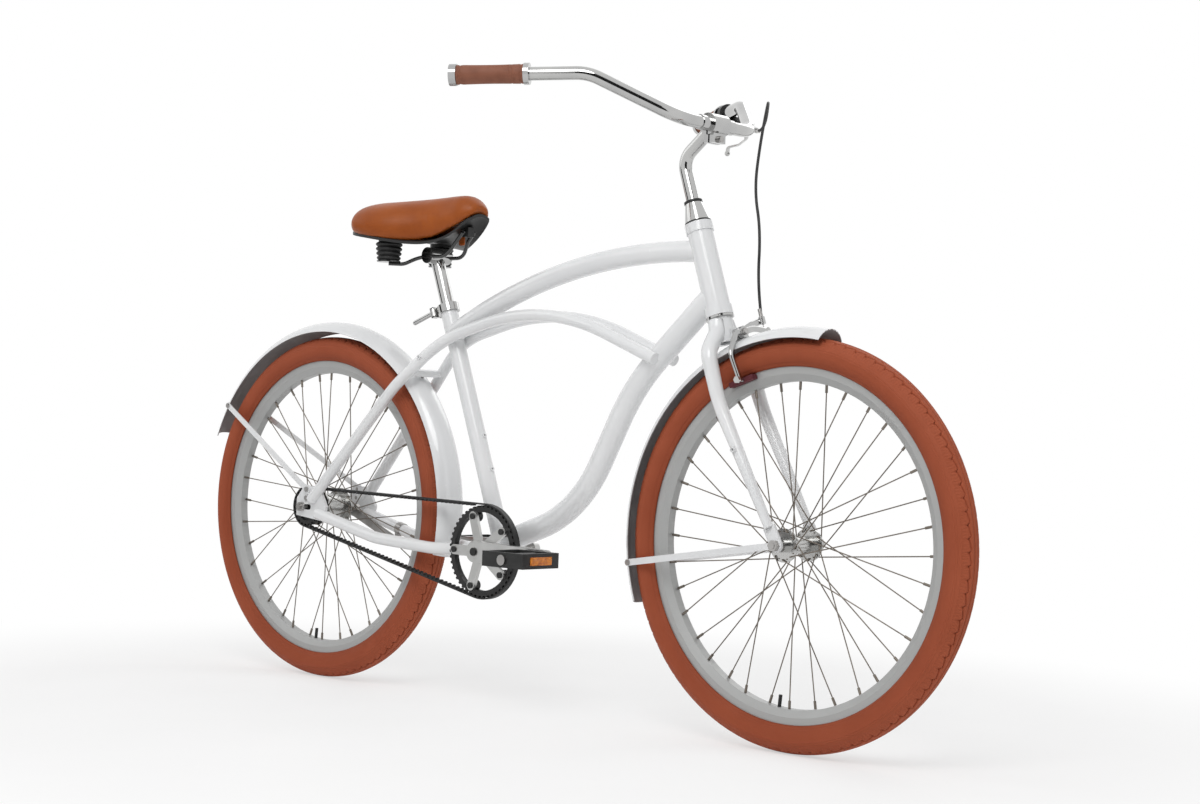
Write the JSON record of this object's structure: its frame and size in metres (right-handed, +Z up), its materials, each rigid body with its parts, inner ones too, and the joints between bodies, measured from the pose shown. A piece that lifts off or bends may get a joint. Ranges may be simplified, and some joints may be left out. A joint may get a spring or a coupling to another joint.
{
  "type": "beach cruiser bicycle",
  "caption": "Beach cruiser bicycle with a curved cantilever frame, belt drive, coaster rear hub, front rim brake, swept handlebar, mudguards and a sprung saddle, for relaxed riding.",
  "frame": {"origin": "on the ground, midway along and across the whole bicycle", "axes": "+X forward, +Y to the rider's left, +Z up"},
  "size_m": [1.8031, 0.6834, 1.0974],
  "materials": {
    "white_paint": "gloss white enamel",
    "chrome_steel": "polished chrome plating",
    "silver_alloy": "polished alloy",
    "rim_grey": "light grey painted alloy",
    "dark_steel": "dark zinc-plated steel",
    "plated_steel": "zinc-plated steel",
    "brick_rubber": "moulded tan-red rubber",
    "black_rubber": "black rubber",
    "brown_rubber": "brown moulded rubber",
    "maroon_rubber": "maroon brake rubber",
    "black_alloy": "black anodised alloy",
    "black_plastic": "moulded black plastic",
    "black_paint": "gloss black enamel",
    "tan_leather": "smooth tan leather over padding"
  },
  "bodies": {
    "frame": {"head_tube": "white_paint", "top_tube": "white_paint", "down_tube": "white_paint", "seat_tube": "white_paint", "bottom_bracket_shell": "white_paint", "cantilever_stays": "white_paint", "chainstays": "white_paint", "rear_dropouts": "white_paint", "frame_bearings": "plated_steel", "seat_clamp": "silver_alloy", "rear_mudguard": "white_paint", "rear_mudguard_stays": "white_paint", "rear_axle": "plated_steel", "coaster_brake_arm": "plated_steel", "frame_bolts": "plated_steel", "drive_belt": "black_rubber"},
    "steering": {"fork_steerer": "white_paint", "fork_blades": "white_paint", "headset_races": "chrome_steel", "stem": "chrome_steel", "handlebar": "chrome_steel", "grips": "brown_rubber", "grip_lock_rings": "silver_alloy", "brake_lever_body": "black_plastic", "front_brake_cable": "black_plastic", "front_mudguard": "white_paint", "front_mudguard_stays": "white_paint", "front_axle": "plated_steel", "steering_bolts": "plated_steel"},
    "front_wheel": {"front_tyre": "brick_rubber", "front_inner_tube": "black_rubber", "front_rim": "rim_grey", "front_spokes": "dark_steel", "front_hub": "silver_alloy"},
    "rear_wheel": {"rear_tyre": "brick_rubber", "rear_inner_tube": "black_rubber", "rear_rim": "rim_grey", "rear_spokes": "dark_steel", "rear_hub": "plated_steel"},
    "crankset": {"crank_arm_right": "silver_alloy", "crank_arm_left": "silver_alloy", "crank_spindles": "plated_steel", "belt_ring": "black_alloy", "crankset_bolts": "plated_steel"},
    "pedal_right": {"pedal_right": "black_plastic"},
    "pedal_left": {"pedal_left": "black_plastic"},
    "rear_sprocket": {"rear_sprocket": "dark_steel"},
    "brake_lever": {"brake_lever": "silver_alloy"},
    "caliper_right": {"caliper_arm_right": "silver_alloy", "brake_pad_right": "maroon_rubber"},
    "caliper_left": {"caliper_arm_left": "silver_alloy", "brake_pad_left": "maroon_rubber"},
    "seatpost": {"seatpost": "chrome_steel", "saddle_rails": "black_paint", "spring_boots": "black_rubber", "saddle_springs": "plated_steel"},
    "saddle": {"saddle_cover": "tan_leather", "saddle_base": "black_plastic"},
    "seat_clamp_lever": {"seat_clamp_lever": "silver_alloy"}
  },
  "joints": [
    {"name": "steering_turn", "type": "hinge", "parent": "frame", "child": "steering", "pos_m": [0.3764, 0, 0.75792], "axis": [-0.3228, 0, 0.9465], "range_deg": [-90, 90]},
    {"name": "front_wheel_spin", "type": "hinge", "parent": "steering", "child": "front_wheel", "pos_m": [0.56961, 0, 0.332], "axis": [0, 1, 0], "continuous": true},
    {"name": "rear_wheel_spin", "type": "hinge", "parent": "frame", "child": "rear_wheel", "pos_m": [-0.56689, 0, 0.332], "axis": [0, 1, 0], "continuous": true},
    {"name": "crank_spin", "type": "hinge", "parent": "frame", "child": "crankset", "pos_m": [-0.08252, 0, 0.278], "axis": [0, 1, 0], "continuous": true},
    {"name": "sprocket_spin", "type": "hinge", "parent": "frame", "child": "rear_sprocket", "pos_m": [-0.56689, 0, 0.332], "axis": [0, 1, 0], "continuous": true},
    {"name": "pedal_right_spin", "type": "hinge", "parent": "crankset", "child": "pedal_right", "pos_m": [0.08548, 0, 0.278], "axis": [0, 1, 0], "continuous": true},
    {"name": "pedal_left_spin", "type": "hinge", "parent": "crankset", "child": "pedal_left", "pos_m": [-0.25052, 0, 0.278], "axis": [0, 1, 0], "continuous": true},
    {"name": "brake_lever_pull", "type": "hinge", "parent": "steering", "child": "brake_lever", "pos_m": [0.25182, 0.23444, 1.04859], "axis": [0.4588, 0.7242, 0.5149], "range_deg": [0, 14], "stiffness_Nm_per_rad": 6},
    {"name": "caliper_right_close", "type": "hinge", "parent": "steering", "child": "caliper_right", "pos_m": [0.4412, 0, 0.67013], "axis": [0.9465, 0, 0.3228], "range_deg": [0, 1.15]},
    {"name": "caliper_left_close", "type": "hinge", "parent": "steering", "child": "caliper_left", "pos_m": [0.4412, 0, 0.67013], "axis": [-0.9465, 0, -0.3228], "range_deg": [0, 1.15]},
    {"name": "seatpost_height", "type": "slide", "parent": "frame", "child": "seatpost", "axis": [-0.3535, 0, 0.9354], "range_m": [-0.05, 0.1]},
    {"name": "saddle_flex", "type": "hinge", "parent": "seatpost", "child": "saddle", "pos_m": [-0.20289, 0, 0.856], "axis": [0, -1, 0], "range_deg": [0, 4], "stiffness_Nm_per_rad": 1600, "deforming": ["spring_boots", "saddle_springs"]},
    {"name": "seat_clamp_release", "type": "hinge", "parent": "frame", "child": "seat_clamp_lever", "pos_m": [-0.27058, -0.0165, 0.70777], "axis": [-0.3535, 0, 0.9354], "range_deg": [0, 120]}
  ],
  "couplings": [
    {"joint": "sprocket_spin", "follows": "crank_spin", "ratio": 2.1818},
    {"joint": "caliper_right_close", "follows": "brake_lever_pull", "ratio": 0.082136},
    {"joint": "caliper_left_close", "follows": "brake_lever_pull", "ratio": 0.082136}
  ]
}
